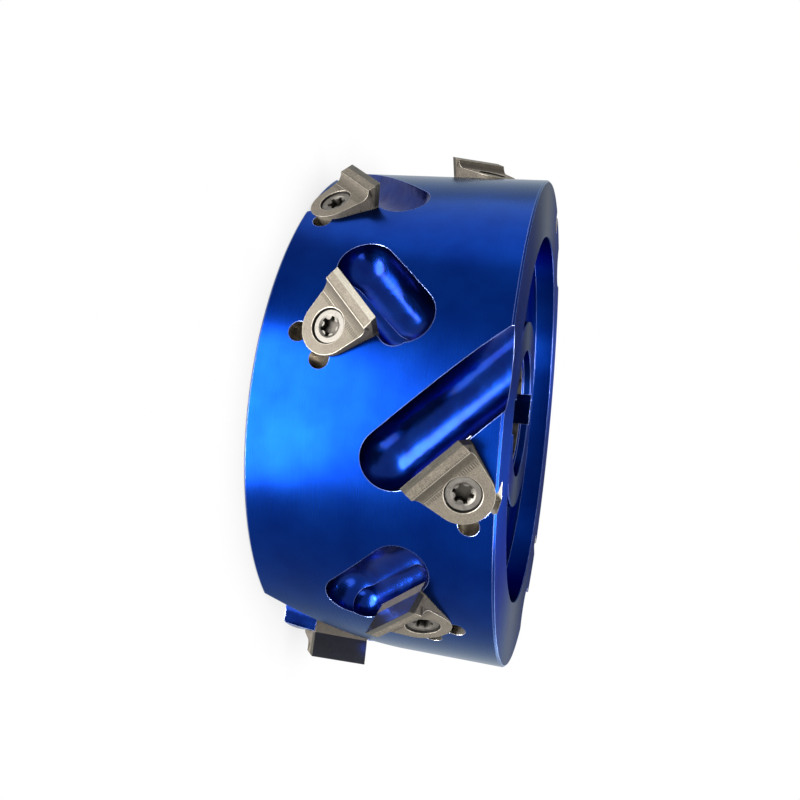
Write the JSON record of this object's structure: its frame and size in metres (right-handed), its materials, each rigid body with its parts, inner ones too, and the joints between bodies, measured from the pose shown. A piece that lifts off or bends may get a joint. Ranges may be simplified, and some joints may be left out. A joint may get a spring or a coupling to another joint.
{
  "type": "indexable milling cutter head",
  "caption": "Drum-shaped milling head for a keyed arbor: turned aluminium body with ball-nosed chip gullets and slanted, screwed-in diamond-tipped inserts.",
  "frame": {"origin": "on the bore's axis, half way through the width of the body", "axes": "+Z along the bore towards the end face that lies to the right in the picture; +Y away from the picture's camera"},
  "size_m": [0.1241, 0.1246, 0.048],
  "materials": {
    "anodised_body": "turned aluminium, deep blue anodised, satin gloss",
    "carrier_steel": "fine-ground sintered metal, warm grey, satin",
    "diamond_tip": "polycrystalline diamond on a carbide base, dark, polished rake face",
    "screw_steel": "plain bright steel"
  },
  "bodies": {
    "root": {"tool_body": "anodised_body", "insert_carrier_1": "carrier_steel", "insert_carrier_2": "carrier_steel", "insert_carrier_3": "carrier_steel", "insert_carrier_4": "carrier_steel", "insert_carrier_5": "carrier_steel", "insert_carrier_6": "carrier_steel", "insert_carrier_7": "carrier_steel", "insert_carrier_8": "carrier_steel", "insert_carrier_9": "carrier_steel", "insert_carrier_10": "carrier_steel", "insert_carrier_11": "carrier_steel", "insert_carrier_12": "carrier_steel", "pcd_tip_1": "diamond_tip", "pcd_tip_2": "diamond_tip", "pcd_tip_3": "diamond_tip", "pcd_tip_4": "diamond_tip", "pcd_tip_5": "diamond_tip", "pcd_tip_6": "diamond_tip", "pcd_tip_7": "diamond_tip", "pcd_tip_8": "diamond_tip", "pcd_tip_9": "diamond_tip", "pcd_tip_10": "diamond_tip", "pcd_tip_11": "diamond_tip", "pcd_tip_12": "diamond_tip"}
  },
  "joints": []
}
